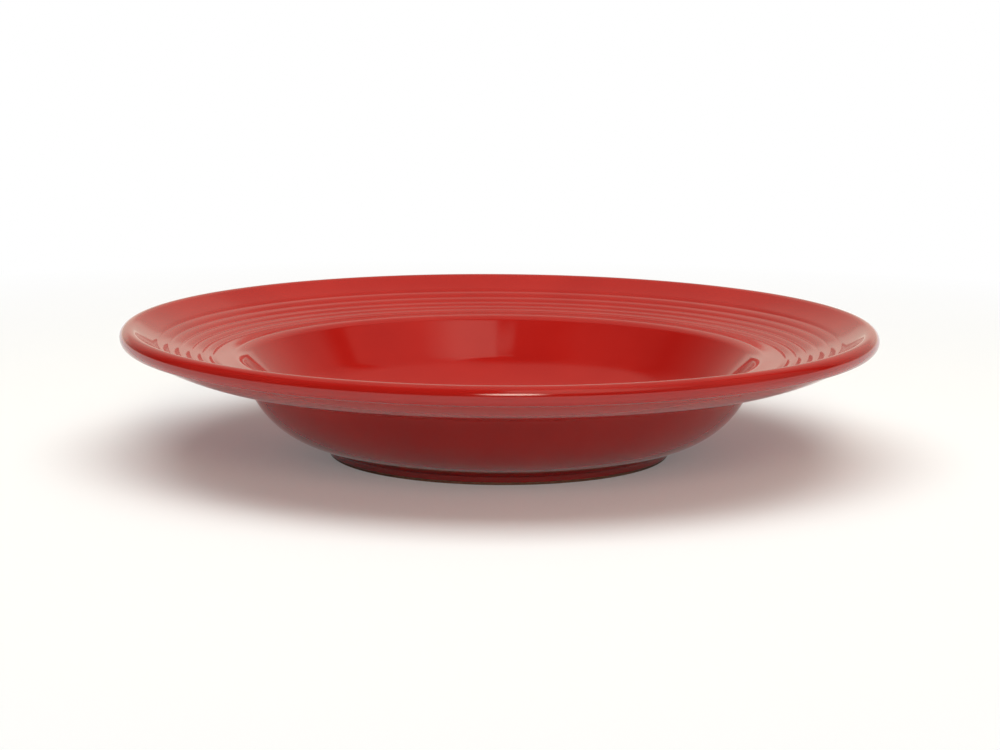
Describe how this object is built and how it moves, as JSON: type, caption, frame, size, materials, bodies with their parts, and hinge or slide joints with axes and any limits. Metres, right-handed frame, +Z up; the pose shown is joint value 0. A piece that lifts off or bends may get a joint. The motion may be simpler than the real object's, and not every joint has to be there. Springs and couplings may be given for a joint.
{
  "type": "pasta bowl",
  "caption": "Shallow pasta bowl in red glazed ceramic with a broad rim of turned rings, a rounded lip, a curved well for food and a low foot ring to stand on.",
  "frame": {"origin": "centre of the circle that the foot ring stands on, in the plane of the table", "axes": "+Z up along the bowl's axis of revolution, out of the open well; X and Y lie in the plane of the table and are free, because the bowl is round"},
  "size_m": [0.3048, 0.3048, 0.0528],
  "materials": {
    "fired_clay": "unglazed, matt",
    "red_glaze": "high gloss",
    "red_base_glaze": "high gloss"
  },
  "bodies": {
    "root": {"clay_body": "fired_clay", "glaze_coat": "red_glaze", "base_glaze": "red_base_glaze"}
  },
  "joints": []
}
